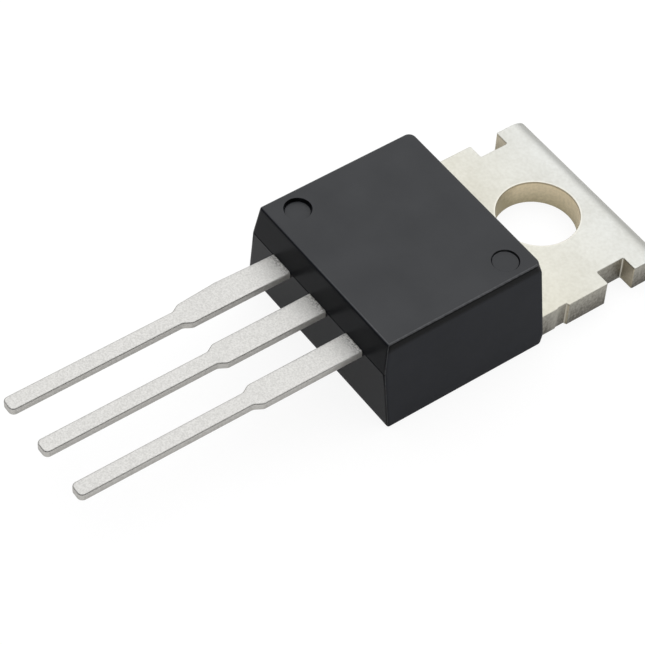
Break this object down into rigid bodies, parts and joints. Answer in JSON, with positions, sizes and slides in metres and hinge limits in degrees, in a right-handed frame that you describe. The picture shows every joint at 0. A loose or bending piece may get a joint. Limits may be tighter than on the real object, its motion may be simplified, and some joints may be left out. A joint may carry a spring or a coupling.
{
  "type": "voltage regulator",
  "caption": "Linear voltage regulator in a moulded power package with a drilled metal tab and a row of straight leads for a circuit board.",
  "frame": {"origin": "centre of the mounting hole on the tab's back face", "axes": "+Z away from the back face, out through the case's top; +Y towards the tab's end, so the leads point along -Y; +X across, from the input lead to the output lead"},
  "size_m": [0.0102, 0.0283, 0.0047],
  "materials": {
    "black_epoxy": "fine matte moulding, near-black epoxy",
    "plated_copper": "matte tin and nickel plate over stamped copper, copper-brown where sheared",
    "silicon": "polished dark grey silicon",
    "solder": "dull grey soft solder",
    "bond_aluminium": "drawn aluminium wire"
  },
  "bodies": {
    "root": {"moulded_case": "black_epoxy", "tab_frame": "plated_copper", "input_lead": "plated_copper", "output_lead": "plated_copper", "silicon_die": "silicon", "die_solder": "solder", "input_bond_wire": "bond_aluminium", "output_bond_wire": "bond_aluminium", "ground_bond_wire": "bond_aluminium"}
  },
  "joints": []
}
